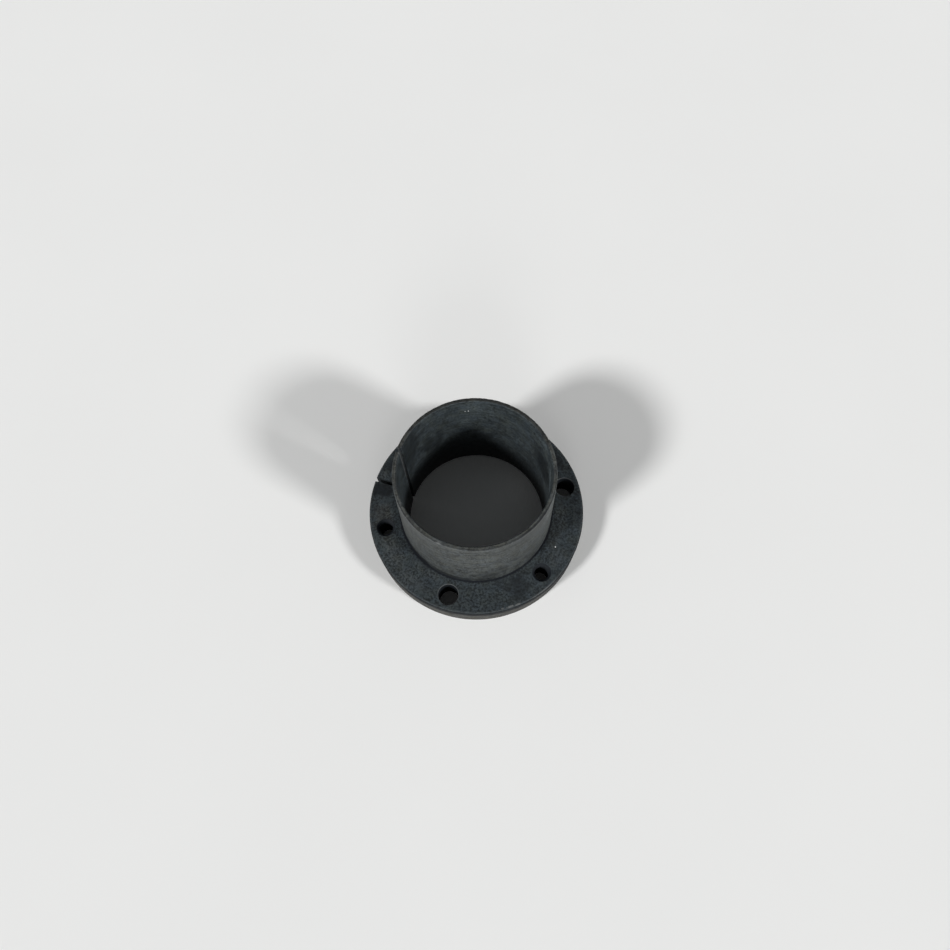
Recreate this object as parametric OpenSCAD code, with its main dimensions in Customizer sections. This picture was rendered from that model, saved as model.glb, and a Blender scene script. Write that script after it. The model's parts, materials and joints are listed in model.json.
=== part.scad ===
// Quick disconnect bushing: a flange with a split, tapered barrel and a straight bore.
// It stands on the face of its flange, the barrel points up, and the split is on the -X side.
// Screws through the three clearance holes draw the taper into a hub, which closes the split
// on the shaft. The same screws in the three tapped holes push the bushing out again.

/* [Bore] */
// Diameter of the bore, which is the shaft size
bore_d = 50.8; // [25.4:0.01:51.6]
// Chamfer of the bore at the flange face
bore_foot_chamfer = 1.6; // [0.2:0.1:3]
// Chamfer of the bore at the small end of the barrel
bore_mouth_chamfer = 0.3; // [0.1:0.05:0.5]

/* [Flange] */
// Outside diameter of the flange
flange_d = 79.38; // [77.5:0.01:100]
// Thickness of the flange
flange_t = 11.11; // [6:0.01:25]
// Chamfer around the face that the bushing stands on
flange_foot_chamfer = 0.8; // [0.1:0.1:1]
// Chamfer around the face on the barrel side
flange_top_chamfer = 0.5; // [0.1:0.1:1]

/* [Barrel] */
// Diameter of the taper at the large end of the hub
gauge_d = 55.55; // [55:0.01:58]
// Length of the taper inside the hub
hub_length = 31.75; // [15:0.01:40]
// Space left between flange and hub, so that the screws can draw the taper tight
draw_gap = 3.18; // [1:0.01:8]
// Loss of barrel diameter for each millimetre of length
taper = 0.0625; // [0.04:0.0005:0.065]
// Chamfer around the outside of the small end
nose_chamfer = 0.25; // [0.1:0.05:0.5]
// Radius of the corner between barrel and flange
root_fillet = 0.5; // [0.2:0.1:1.5]

/* [Screw holes] */
// Distance from the edge of the flange to the centre of each hole
edge_distance = 5.56; // [4.8:0.01:6.6]
// Number of clearance holes, with as many tapped holes halfway between them
screw_count = 3; // [2:1:4]
// Diameter of the clearance holes
clearance_d = 7.14; // [4:0.01:8]
// Chamfer at both ends of the clearance holes
clearance_chamfer = 0.25; // [0.1:0.05:0.5]
// Minor diameter of the tapped holes
tapped_d = 5.11; // [3:0.01:6]
// Diameter of the countersink at both ends of the tapped holes
countersink_d = 6.6; // [6.1:0.01:8]

/* [Split] */
// Width of the saw cut through flange and barrel
split_w = 1.6; // [0.5:0.1:3]

/* [Hidden] */
body_facets = 180;
hole_facets = 48;

// Reach of a cut past the face that it breaks through
overcut = 1;
// Depth by which the corner ring is set into the barrel and flange
embed = 0.3;

bore_r = bore_d / 2;
flange_r = flange_d / 2;
bolt_circle_r = flange_r - edge_distance;
gauge_z = flange_t + draw_gap;
length = gauge_z + hub_length;
half_angle = atan(taper / 2);

// Half the space between neighbours, so that the split misses every hole
hole_step = 180 / screw_count;
split_angle = 180;
first_clearance_angle = split_angle - hole_step / 2;
first_tapped_angle = split_angle + hole_step / 2;

// Radius of the tapered barrel at a height above the foot
function barrel_r(z) = gauge_d / 2 - (z - gauge_z) * taper / 2;

// Centre of the corner arc, which touches both the flange and the sloping barrel
fillet_x = barrel_r(flange_t + root_fillet) + root_fillet / cos(half_angle);
fillet_z = flange_t + root_fillet;
fillet_touch_z = fillet_z - root_fillet * sin(half_angle);

// Half section of the turned body, from the foot of the bore round to its mouth
module turned_section() {
    polygon([
        [bore_r + bore_foot_chamfer, 0],
        [flange_r - flange_foot_chamfer, 0],
        [flange_r, flange_foot_chamfer],
        [flange_r, flange_t - flange_top_chamfer],
        [flange_r - flange_top_chamfer, flange_t],
        [barrel_r(flange_t), flange_t],
        [barrel_r(length - nose_chamfer), length - nose_chamfer],
        [barrel_r(length) - nose_chamfer, length],
        [bore_r + bore_mouth_chamfer, length],
        [bore_r, length - bore_mouth_chamfer],
        [bore_r, bore_foot_chamfer]
    ]);
}

// The rounded inside corner where the barrel leaves the flange
module corner_section() {
    inner_x = barrel_r(flange_t) - embed;
    difference() {
        translate([inner_x, flange_t - embed])
            square([fillet_x - inner_x, fillet_touch_z - flange_t + embed]);
        translate([fillet_x, fillet_z])
            circle(r = root_fillet, $fn = hole_facets);
    }
}

module turned_body() {
    rotate_extrude($fn = body_facets) {
        union() {
            turned_section();
            corner_section();
        }
    }
}

// A hole through the flange with a chamfer at both faces
module flange_hole(d, mouth_d) {
    sink = (mouth_d - d) / 2;
    translate([0, 0, -overcut])
        cylinder(d = d, h = flange_t + 2 * overcut, $fn = hole_facets);
    translate([0, 0, -overcut])
        cylinder(d1 = mouth_d + 2 * overcut, d2 = d, h = sink + overcut, $fn = hole_facets);
    translate([0, 0, flange_t - sink])
        cylinder(d1 = d, d2 = mouth_d + 2 * overcut, h = sink + overcut, $fn = hole_facets);
}

// One ring of evenly spaced holes, starting at the given angle
module hole_ring(first_angle, d, mouth_d) {
    for (i = [0 : screw_count - 1])
        rotate([0, 0, first_angle + i * 360 / screw_count])
            translate([bolt_circle_r, 0, 0])
                flange_hole(d, mouth_d);
}

// The saw cut from the bore out through barrel and flange
module split_cut() {
    rotate([0, 0, split_angle])
        translate([0, -split_w / 2, -overcut])
            cube([flange_r + overcut, split_w, length + 2 * overcut]);
}

module bushing() {
    color("dimgray")
        difference() {
            turned_body();
            hole_ring(first_clearance_angle, clearance_d, clearance_d + 2 * clearance_chamfer);
            hole_ring(first_tapped_angle, tapped_d, countersink_d);
            split_cut();
        }
}

bushing();
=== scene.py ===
"""Looks of a quick disconnect bushing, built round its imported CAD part.

The turned body, its drilled and tapped holes, the saw cut and the nicks in its edges are one
mesh, which a Geometry Nodes tree makes from a few outlines. It stands for the CAD node.
The bushing lies in the row frame: foot on the floor, barrel up, split on the -X side.
"""

import json
import logging
import math
from dataclasses import dataclass
from enum import Enum
from typing import Dict, List, Optional, Sequence, Tuple, Union

import bpy
import numpy as np
from mathutils import Matrix, Vector


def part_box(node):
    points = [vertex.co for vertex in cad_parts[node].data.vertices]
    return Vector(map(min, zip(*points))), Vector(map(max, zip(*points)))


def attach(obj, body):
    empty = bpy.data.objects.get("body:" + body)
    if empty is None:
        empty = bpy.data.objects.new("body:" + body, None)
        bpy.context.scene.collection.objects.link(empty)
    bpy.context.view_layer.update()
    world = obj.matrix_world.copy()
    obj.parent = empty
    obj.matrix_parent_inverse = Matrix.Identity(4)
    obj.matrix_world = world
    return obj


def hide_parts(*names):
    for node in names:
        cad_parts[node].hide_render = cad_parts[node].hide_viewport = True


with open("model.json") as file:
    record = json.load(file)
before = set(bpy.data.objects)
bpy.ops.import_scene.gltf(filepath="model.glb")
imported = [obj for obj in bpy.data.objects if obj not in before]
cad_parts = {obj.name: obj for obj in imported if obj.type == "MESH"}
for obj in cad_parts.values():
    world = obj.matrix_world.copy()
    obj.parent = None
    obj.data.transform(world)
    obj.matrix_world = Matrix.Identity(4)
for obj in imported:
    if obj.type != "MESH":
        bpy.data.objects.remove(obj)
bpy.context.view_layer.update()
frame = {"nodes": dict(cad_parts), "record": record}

MM = 0.001
CAD_NODE = "bushing"
BODY = "root"

# Degrees from the photograph's directions to the part's
PHOTO_TURN = 19.05

log = logging.getLogger("bushing")

Colour = Tuple[float, float, float]
Limits = Tuple[float, float]
Value = Union["Field", bpy.types.NodeSocket, float, int, bool, Sequence[float]]


class Field:
    """A number or vector that nodes work out at every point, with the usual signs for sums."""

    def __init__(self, graph: "Graph", socket: bpy.types.NodeSocket) -> None:
        """Keeps the socket that carries the value, and the graph that it belongs to."""
        self.graph = graph
        self.socket = socket

    def __add__(self, other: Value) -> "Field":
        """Sum of the two."""
        return self.graph.math("ADD", self, other)

    def __sub__(self, other: Value) -> "Field":
        """This less the other."""
        return self.graph.math("SUBTRACT", self, other)

    def __mul__(self, other: Value) -> "Field":
        """Product of the two."""
        return self.graph.math("MULTIPLY", self, other)

    def __truediv__(self, other: Value) -> "Field":
        """This divided by the other."""
        return self.graph.math("DIVIDE", self, other)

    def __rtruediv__(self, other: Value) -> "Field":
        """The other divided by this."""
        return self.graph.math("DIVIDE", other, self)

    def size(self) -> "Field":
        """The value without its sign."""
        return self.graph.math("ABSOLUTE", self)

    def inverse(self) -> "Field":
        """One less this, which turns a mask inside out."""
        return self.graph.math("SUBTRACT", 1.0, self)

    def rise(self, start: float, stop: float) -> "Field":
        """Smooth step from 0 at start to 1 at stop.

        Args:
            start: value up to which the result is 0.
            stop: value from which the result is 1.

        Returns:
            The step as a field.
        """
        node = self.graph.add(
            "ShaderNodeMapRange",
            {0: self, 1: start, 2: stop, 3: 0.0, 4: 1.0},
            interpolation_type="SMOOTHSTEP",
        )
        return Field(self.graph, node.outputs[0])

    def fall(self, start: float, stop: float) -> "Field":
        """Smooth step from 1 at start to 0 at stop."""
        return self.rise(start, stop).inverse()


class Graph:
    """Adds nodes to one node tree and links them."""

    def __init__(self, tree: bpy.types.NodeTree) -> None:
        """Keeps the tree that the nodes go into."""
        self.tree = tree

    def feed(self, socket: bpy.types.NodeSocket, value: Value) -> None:
        """Links a field to a socket, or sets the socket to a plain value.

        Args:
            socket: the input to feed.
            value: a field, another socket, or a plain value.
        """
        if isinstance(value, Field):
            self.tree.links.new(value.socket, socket)
        elif isinstance(value, bpy.types.NodeSocket):
            self.tree.links.new(value, socket)
        else:
            socket.default_value = value

    def add(
        self, kind: str, inputs: Optional[Dict[Union[int, str], Value]] = None, **settings: object
    ) -> bpy.types.Node:
        """Adds one node.

        Args:
            kind: the node's type.
            inputs: what each input gets, by its name or its place.
            **settings: the node's own properties.

        Returns:
            The new node.
        """
        node = self.tree.nodes.new(kind)
        for name, value in settings.items():
            setattr(node, name, value)
        for key, value in (inputs or {}).items():
            self.feed(node.inputs[key], value)
        return node

    def field(
        self, kind: str, inputs: Optional[Dict[Union[int, str], Value]] = None, **settings: object
    ) -> Field:
        """Adds one node and returns its first output as a field.

        Args:
            kind: the node's type.
            inputs: what each input gets, by its name or its place.
            **settings: the node's own properties.

        Returns:
            The first output.
        """
        return Field(self, self.add(kind, inputs, **settings).outputs[0])

    def math(self, operation: str, *values: Value) -> Field:
        """Adds one Math node and returns its result."""
        return self.field("ShaderNodeMath", dict(enumerate(values)), operation=operation)

    def vector(self, x: Value, y: Value, z: Value) -> Field:
        """Puts three numbers together as a vector."""
        return self.field("ShaderNodeCombineXYZ", {0: x, 1: y, 2: z})

    def parts(self, vector: Value) -> List[Field]:
        """Takes a vector apart into its three numbers."""
        return [Field(self, out) for out in self.add("ShaderNodeSeparateXYZ", {0: vector}).outputs]

    def polar(self, radius: Field, angle: Field, height: Value) -> Field:
        """Finds the point at a radius and angle round the axis.

        Args:
            radius: distance from the axis.
            angle: radians from the X axis.
            height: height of the point.

        Returns:
            The point.
        """
        x = self.math("COSINE", angle) * radius
        y = self.math("SINE", angle) * radius
        return self.vector(x, y, height)

    def shade(self, vector: Value, factor: Value) -> Field:
        """Multiplies a vector or colour by a number."""
        return self.field("ShaderNodeVectorMath", {0: vector, "Scale": factor}, operation="SCALE")

    def tint(self, vector: Value, other: Value) -> Field:
        """Multiplies a vector or colour by another, part by part."""
        return self.field("ShaderNodeVectorMath", {0: vector, 1: other}, operation="MULTIPLY")


@dataclass(frozen=True)
class Corner:
    """One corner of a turned outline, in metres."""

    radius: float
    height: float
    rounding: float = 0.0


class Outline:
    """A turned outline: straight stretches, joined by rounded corners."""

    # Longest step along an arc, and fewest steps of one
    ARC_STEP = math.radians(15)
    LEAST_STEPS = 2
    # Distance from a corner to the point that keeps a stretch flat, and shortest such stretch
    SUPPORT = 0.3 * MM
    SHORTEST = 4 * SUPPORT

    def __init__(self, corners: Sequence[Corner], closed: bool, spacing: float) -> None:
        """Rounds the corners and divides the stretches between them.

        Args:
            corners: the corners in order.
            closed: whether the last corner joins the first.
            spacing: longest distance between two points of a stretch.
        """
        self.closed = closed
        self.points = self._divide(self._round(corners), spacing)

    def _round(self, corners: Sequence[Corner]) -> List[Tuple[Vector, bool]]:
        """Replaces each corner by the points of its arc.

        Args:
            corners: the corners in order.

        Returns:
            Points, each with whether an arc goes on from it to the next.
        """
        places = [Vector((c.radius, c.height)) for c in corners]
        count = len(corners)
        result = []
        for i, corner in enumerate(corners):
            here = places[i]
            if corner.rounding == 0.0:
                result.append((here, False))
                continue
            arriving = (here - places[i - 1]).normalized()
            leaving = (places[(i + 1) % count] - here).normalized()
            turn = math.atan2(arriving.cross(leaving), arriving.dot(leaving))
            start = here - arriving * corner.rounding * math.tan(abs(turn) / 2)
            left = Vector((-arriving.y, arriving.x))
            centre = start + left * math.copysign(corner.rounding, turn)
            steps = max(self.LEAST_STEPS, math.ceil(abs(turn) / self.ARC_STEP))
            for k in range(steps + 1):
                spoke = Matrix.Rotation(turn * k / steps, 2) @ (start - centre)
                result.append((centre + spoke, k < steps))
        return result

    def _divide(self, points: List[Tuple[Vector, bool]], spacing: float) -> List[Vector]:
        """Adds points along the stretches, with one close to each end to keep them flat.

        Args:
            points: points, each with whether an arc goes on from it.
            spacing: longest distance between two points of a stretch.

        Returns:
            All points in order.
        """
        result = []
        last = len(points) if self.closed else len(points) - 1
        for i in range(last):
            here, on_arc = points[i]
            there = points[(i + 1) % len(points)][0]
            result.append(here)
            length = (there - here).length
            if on_arc or length < self.SHORTEST:
                continue
            between = length - 2 * self.SUPPORT
            steps = max(1, math.ceil(between / spacing))
            for k in range(steps + 1):
                along = self.SUPPORT + between * k / steps
                result.append(here.lerp(there, along / length))
        if not self.closed:
            result.append(points[-1][0])
        return result


@dataclass(frozen=True)
class BushingShape:
    """Sizes of the bushing in metres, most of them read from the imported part."""

    bore_radius: float
    flange_radius: float
    flange_thickness: float
    length: float
    barrel_foot_radius: float
    barrel_mouth_radius: float
    hole_circle_radius: float
    clearance_radius: float
    tap_core_radius: float
    hole_count: int
    bore_foot_chamfer: float = 1.6 * MM
    bore_mouth_chamfer: float = 0.3 * MM
    flange_foot_chamfer: float = 0.8 * MM
    flange_top_chamfer: float = 0.5 * MM
    nose_chamfer: float = 0.25 * MM
    root_fillet: float = 0.5 * MM
    clearance_mouth: float = 0.25 * MM
    tap_outer_radius: float = 3.175 * MM
    countersink_radius: float = 3.3 * MM
    thread_pitch: float = 1.27 * MM
    split_width: float = 1.6 * MM
    split_angle: float = math.pi
    edge_rounding: float = 0.25 * MM
    fine_rounding: float = 0.12 * MM

    # The barrel is a plain cone above this share of the fillet's height, and out from the bore
    # by more than this distance
    CONE_START = 0.9
    CONE_PAST_BORE = 1.0 * MM

    @classmethod
    def from_frame(cls, record: dict) -> "BushingShape":
        """Reads the sizes from the record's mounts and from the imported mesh.

        Args:
            record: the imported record.

        Returns:
            The sizes.
        """
        mounts = {m["name"]: m for m in record["mounts"]}
        screws = mounts["screw_holes"]["dims"]
        bore = mounts["shaft_bore"]["dims"]["r_mm"] * MM
        circle = screws["pcd_mm"] * MM / 2
        points = np.array([v.co for v in frame["nodes"][CAD_NODE].data.vertices])
        radius = np.hypot(points[:, 0], points[:, 1])
        height = points[:, 2]
        low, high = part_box(CAD_NODE)
        flange_top = height[radius > circle].max()
        cone_low = flange_top + cls.CONE_START * cls.root_fillet
        cone_high = high.z - cls.nose_chamfer / 2
        on_cone = (height > cone_low) & (height < cone_high)
        on_cone &= radius > bore + cls.CONE_PAST_BORE
        slope, start = np.polyfit(height[on_cone], radius[on_cone], 1)
        return cls(
            bore_radius=bore,
            flange_radius=(high.y - low.y) / 2,
            flange_thickness=float(flange_top),
            length=high.z,
            barrel_foot_radius=float(start + slope * flange_top),
            barrel_mouth_radius=float(start + slope * high.z),
            hole_circle_radius=circle,
            clearance_radius=screws["hole_r_mm"] * MM,
            tap_core_radius=mounts["jack_hole_back"]["dims"]["r_mm"] * MM,
            hole_count=screws["count"],
        )

    def body_corners(self) -> List[Corner]:
        """Lists the corners of the turned body.

        Returns:
            The corners, from the foot of the bore out round the flange, up the barrel and back.
        """
        edge, fine = self.edge_rounding, self.fine_rounding
        bore, rim, top = self.bore_radius, self.flange_radius, self.flange_thickness
        slope = (self.barrel_mouth_radius - self.barrel_foot_radius) / (self.length - top)
        nose_radius = self.barrel_mouth_radius - slope * self.nose_chamfer
        return [
            Corner(bore + self.bore_foot_chamfer, 0.0, edge),
            Corner(rim - self.flange_foot_chamfer, 0.0, edge),
            Corner(rim, self.flange_foot_chamfer, edge),
            Corner(rim, top - self.flange_top_chamfer, edge),
            Corner(rim - self.flange_top_chamfer, top, edge),
            Corner(self.barrel_foot_radius, top, self.root_fillet),
            Corner(nose_radius, self.length - self.nose_chamfer, fine),
            Corner(self.barrel_mouth_radius - self.nose_chamfer, self.length, fine),
            Corner(bore + self.bore_mouth_chamfer, self.length, fine),
            Corner(bore, self.length - self.bore_mouth_chamfer, fine),
            Corner(bore, self.bore_foot_chamfer, edge),
        ]


class Tool(Enum):
    """The outlines that the tree sweeps, each with its number in the outline attribute."""

    BODY = 0
    CLEARANCE_DRILL = 1
    COUNTERSINK = 2


@dataclass(frozen=True)
class Nicks:
    """Small dents along one edge: their scale, their seed, and the limits of what is drawn."""

    scale: float
    seed_step: int
    place: Limits = (0.15, 0.85)
    length: Limits = (0.35, 1.0)
    depth: Limits = (0.5, 1.0)
    tilt: Limits = (-0.5, 0.5)


@dataclass
class TurnedBushing:
    """The whole bushing as one mesh: its outlines, how it is cut and how it is worn.

    Lengths are in metres, and noise scales in repeats to the metre. Wear sets in between two
    values of its noise and eats the rim inward and, times its drop, downward. The saw starts
    at a share of the bore's radius.
    """

    shape: BushingShape
    name: str = "turned_bushing"
    outline_attribute: str = "outline"
    body_segments: int = 480
    hole_segments: int = 48
    overcut: float = 1.0 * MM
    body_spacing: float = 1.2 * MM
    drill_spacing: float = 2.4 * MM
    sink_spacing: float = 12.0 * MM
    rim_wear: float = 0.07 * MM
    wear_scale: float = 700.0
    wear_reach: Limits = (0.3 * MM, 1.0 * MM)
    wear_detail: float = 2.0
    wear_onset: Limits = (0.42, 0.75)
    wear_drop: float = 0.8
    saw_wander: float = 0.05 * MM
    saw_ripple: Tuple[float, float, float] = (250.0, 40.0, 1500.0)
    saw_detail: float = 1.0
    saw_grid: Tuple[int, int, int] = (50, 2, 90)
    saw_start: float = 0.5
    nick_count: int = 34
    nick_length: float = 0.55 * MM
    nick_depth: float = 0.10 * MM
    nick_detail: int = 2
    mouth_nicks: Nicks = Nicks(1.0, 0)
    flange_nicks: Nicks = Nicks(1.5, 40)
    seed: int = 7
    sharp_angle: float = math.radians(32)

    def outlines(self) -> Dict[Tool, Outline]:
        """Draws the outlines that are swept round an axis.

        Returns:
            The outlines of the body, the clearance drill and the countersink.
        """
        s = self.shape
        low, high = -self.overcut, s.flange_thickness + self.overcut
        mouth = s.clearance_radius + s.clearance_mouth
        wide = mouth + self.overcut
        drill = [
            Corner(0.0, low),
            Corner(wide, low),
            Corner(mouth, 0.0, s.clearance_mouth),
            Corner(s.clearance_radius, s.clearance_mouth, s.clearance_mouth),
            Corner(s.clearance_radius, s.flange_thickness - s.clearance_mouth, s.clearance_mouth),
            Corner(mouth, s.flange_thickness, s.clearance_mouth),
            Corner(wide, high),
            Corner(0.0, high),
        ]
        sink = [
            Corner(0.0, -s.countersink_radius),
            Corner(s.countersink_radius + self.overcut, self.overcut),
            Corner(0.0, self.overcut),
        ]
        return {
            Tool.BODY: Outline(s.body_corners(), True, self.body_spacing),
            Tool.CLEARANCE_DRILL: Outline(drill, False, self.drill_spacing),
            Tool.COUNTERSINK: Outline(sink, False, self.sink_spacing),
        }

    def base_mesh(self) -> bpy.types.Mesh:
        """Puts all outlines in one mesh of edges, each point marked with its outline's number.

        Returns:
            The mesh that the tree starts from.
        """
        points, edges, marks = [], [], []
        for tool, outline in self.outlines().items():
            first = len(points)
            count = len(outline.points)
            points += [(p.x, 0.0, p.y) for p in outline.points]
            marks += [tool.value] * count
            edges += [(first + i, first + i + 1) for i in range(count - 1)]
            if outline.closed:
                edges.append((first + count - 1, first))
        mesh = bpy.data.meshes.new(self.name)
        mesh.from_pydata(points, edges, [])
        attribute = mesh.attributes.new(self.outline_attribute, "INT", "POINT")
        attribute.data.foreach_set("value", marks)
        return mesh

    def build(self, finish: bpy.types.Material) -> bpy.types.Object:
        """Makes the mesh and dresses it.

        Args:
            finish: the material of the whole piece.

        Returns:
            The piece, in place and with no modifier left.
        """
        piece = bpy.data.objects.new(self.name, self.base_mesh())
        bpy.context.scene.collection.objects.link(piece)
        cutting = CuttingTree(self)
        modifier = piece.modifiers.new("cutting", "NODES")
        modifier.node_group = cutting.tree
        for identifier, value in cutting.settings(finish).items():
            modifier[identifier] = value
        graph = bpy.context.evaluated_depsgraph_get()
        mesh = bpy.data.meshes.new_from_object(piece.evaluated_get(graph))
        piece.modifiers.remove(modifier)
        piece.data = mesh
        mesh.name = self.name
        return piece


class CuttingTree:
    """Geometry Nodes that turn the body and then drill, tap, saw and nick it."""

    # First hole of each ring past the split, as a share of the gap between two holes
    FIRST_CLEARANCE = -0.25
    FIRST_TAPPED = 0.25
    # Rows of the thread tool in one turn, as shares of the pitch: two on the core, two at the root
    THREAD_ROWS = (0.0, 0.25, 0.5625, 0.6875)
    FIRST_ROOT_ROW = 2
    # Turns that the thread tool starts below its foot, and that it has more than its height needs
    TURNS_BELOW = 1.5
    SPARE_TURNS = 3.0
    # Points closer than this are one, and heights closer than this are level, in metres
    WELD = 1e-7
    THREAD_WELD = 1e-6
    LEVEL = 1e-9

    def __init__(self, bushing: TurnedBushing) -> None:
        """Builds the tree for one bushing.

        Args:
            bushing: the sizes and settings that the tree's inputs get.
        """
        self.bushing = bushing
        self.tree = bpy.data.node_groups.new("bushing_cutting", "GeometryNodeTree")
        self.graph = Graph(self.tree)
        self.identifiers: Dict[str, str] = {}
        self._values = self._input_values()
        self._make_interface()
        self._source = self.graph.add("NodeGroupInput")
        self._build()

    def _input_values(self) -> Dict[str, Union[int, float]]:
        """Lists the tree's inputs for sizes.

        Returns:
            Each input's value, by its name.
        """
        b, s = self.bushing, self.bushing.shape
        return {
            "Body Segments": b.body_segments,
            "Hole Segments": b.hole_segments,
            "Holes per Ring": s.hole_count,
            "Hole Circle Radius": s.hole_circle_radius,
            "Flange Thickness": s.flange_thickness,
            "Length": s.length,
            "Mouth Radius": s.barrel_mouth_radius,
            "Bore Radius": s.bore_radius,
            "Flange Radius": s.flange_radius,
            "Thread Pitch": s.thread_pitch,
            "Thread Core Radius": s.tap_core_radius,
            "Thread Outer Radius": s.tap_outer_radius,
            "Split Angle": s.split_angle,
            "Split Width": s.split_width,
            "Overcut": b.overcut,
            "Rim Wear": b.rim_wear,
            "Wear Scale": b.wear_scale,
            "Saw Wander": b.saw_wander,
            "Nick Count": b.nick_count,
            "Nick Length": b.nick_length,
            "Nick Depth": b.nick_depth,
            "Seed": b.seed,
            "Sharp Angle": b.sharp_angle,
        }

    def _make_interface(self) -> None:
        """Adds the tree's sockets and notes the identifier of each input."""
        face = self.tree.interface
        face.new_socket("Outlines", in_out="INPUT", socket_type="NodeSocketGeometry")
        for name, value in self._values.items():
            kind = "NodeSocketInt" if isinstance(value, int) else "NodeSocketFloat"
            socket = face.new_socket(name, in_out="INPUT", socket_type=kind)
            self.identifiers[name] = socket.identifier
        socket = face.new_socket("Finish", in_out="INPUT", socket_type="NodeSocketMaterial")
        self.identifiers["Finish"] = socket.identifier
        face.new_socket("Bushing", in_out="OUTPUT", socket_type="NodeSocketGeometry")

    def settings(self, finish: bpy.types.Material) -> Dict[str, object]:
        """Gives the modifier's value for each input's identifier.

        Args:
            finish: the material of the piece.

        Returns:
            The values by identifier.
        """
        values: Dict[str, object] = {
            self.identifiers[name]: value for name, value in self._values.items()
        }
        values[self.identifiers["Finish"]] = finish
        return values

    def _input(self, name: str) -> Field:
        """One of the tree's own inputs."""
        return Field(self.graph, self._source.outputs[name])

    def _lathe(self, tool: Tool, segments: Field) -> Field:
        """Sweeps one outline round the axis.

        Args:
            tool: which outline.
            segments: number of segments round the axis.

        Returns:
            The closed mesh.
        """
        g = self.graph
        number = g.add(
            "GeometryNodeInputNamedAttribute",
            {"Name": self.bushing.outline_attribute},
            data_type="INT",
        )
        wanted = g.add(
            "FunctionNodeCompare",
            {2: Field(g, number.outputs[0]), 3: tool.value},
            data_type="INT",
            operation="EQUAL",
        )
        chosen = g.field(
            "GeometryNodeSeparateGeometry",
            {"Geometry": self._input("Outlines"), "Selection": wanted.outputs[0]},
        )
        section = g.field("GeometryNodeMeshToCurve", {"Mesh": chosen})
        rail_radius = self._input("Flange Radius")
        x, _, z = g.parts(g.field("GeometryNodeInputPosition"))
        laid = g.vector(x - rail_radius, z * -1.0, 0.0)
        flat = g.field("GeometryNodeSetPosition", {"Geometry": section, "Position": laid})
        rail = g.field(
            "GeometryNodeCurvePrimitiveCircle", {"Resolution": segments, "Radius": rail_radius}
        )
        swept = g.field("GeometryNodeCurveToMesh", {"Curve": rail, "Profile Curve": flat})
        outward = g.field("GeometryNodeFlipFaces", {"Mesh": swept})
        return g.field(
            "GeometryNodeMergeByDistance", {"Geometry": outward, "Distance": self.WELD}
        )

    def _worn_rim(self, body: Field) -> Field:
        """Eats a little off the outer edge of the barrel's mouth, unevenly.

        Args:
            body: the turned body.

        Returns:
            The body with its rim worn.
        """
        g, b = self.graph, self.bushing
        position = g.field("GeometryNodeInputPosition")
        x, y, z = g.parts(position)
        radius = g.math("SQRT", x * x + y * y)
        from_edge = (self._input("Length") - z) + (self._input("Mouth Radius") - radius)
        near = from_edge.fall(*b.wear_reach)
        noise = g.field(
            "ShaderNodeTexNoise",
            {"Vector": position, "Scale": self._input("Wear Scale"), "Detail": b.wear_detail},
        )
        amount = noise.rise(*b.wear_onset) * near * self._input("Rim Wear")
        inward = g.shade(g.vector(x / radius, y / radius, b.wear_drop), amount * -1.0)
        return g.field("GeometryNodeSetPosition", {"Geometry": body, "Offset": inward})

    def _ring(self, tool: Field, first_angle: float, height: Value) -> Field:
        """Repeats a tool round the hole circle.

        Args:
            tool: the tool's mesh, on the axis.
            first_angle: angle of the first copy, as a share of the gap between two.
            height: height that the copies are lifted to.

        Returns:
            The copies as one mesh.
        """
        g = self.graph
        count = self._input("Holes per Ring")
        circle = g.field(
            "GeometryNodeMeshCircle",
            {"Vertices": count, "Radius": self._input("Hole Circle Radius")},
        )
        copies = g.field("GeometryNodeInstanceOnPoints", {"Points": circle, "Instance": tool})
        angle = self._input("Split Angle") + math.tau / count * first_angle
        turned = g.field(
            "GeometryNodeTransform",
            {
                "Geometry": copies,
                "Translation": g.vector(0.0, 0.0, height),
                "Rotation": g.vector(0.0, 0.0, angle),
            },
        )
        return g.field("GeometryNodeRealizeInstances", {"Geometry": turned})

    def _thread(self) -> Field:
        """Makes the closed screw-shaped tool that leaves an internal thread.

        A flat grid is wound up into a screw whose rows climb with the helix. Its ends are held
        at the lowest and highest level, and its first and last row close on the axis.

        Returns:
            The tool on the axis, from below the foot to above the flange.
        """
        g = self.graph
        in_turn = float(len(self.THREAD_ROWS))
        pitch = self._input("Thread Pitch")
        low = self._input("Overcut") * -1.0
        high = self._input("Flange Thickness") + self._input("Overcut")
        columns = self._input("Hole Segments") + 1.0
        turns = (high - low) / pitch + self.SPARE_TURNS
        rows = g.math("CEIL", turns) * in_turn
        grid = g.field(
            "GeometryNodeMeshGrid",
            {"Size X": 1.0, "Size Y": 1.0, "Vertices X": columns, "Vertices Y": rows},
        )
        index = g.field("GeometryNodeInputIndex")
        column = g.math("FLOOR", (index + 0.5) / rows)
        row = g.math("FLOOR", index - column * rows + 0.5)
        around = column / (columns - 1.0)
        turn = g.math("FLOOR", (row + 0.5) / in_turn)
        step = row - turn * in_turn
        share = g.add("GeometryNodeIndexSwitch", data_type="FLOAT")
        while len(share.index_switch_items) < len(self.THREAD_ROWS):
            share.index_switch_items.new()
        for k, height in enumerate(self.THREAD_ROWS):
            share.inputs[k + 1].default_value = height
        g.feed(share.inputs[0], step)
        climbed = turn + Field(g, share.outputs[0]) + around - self.TURNS_BELOW
        climb = climbed * pitch + low
        held = g.math("MINIMUM", g.math("MAXIMUM", climb, low), high)
        inside = g.math("COMPARE", climb, held, self.LEVEL)
        at_root = g.math("GREATER_THAN", step, self.FIRST_ROOT_ROW - 0.5) * inside
        core, outer = self._input("Thread Core Radius"), self._input("Thread Outer Radius")
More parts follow.
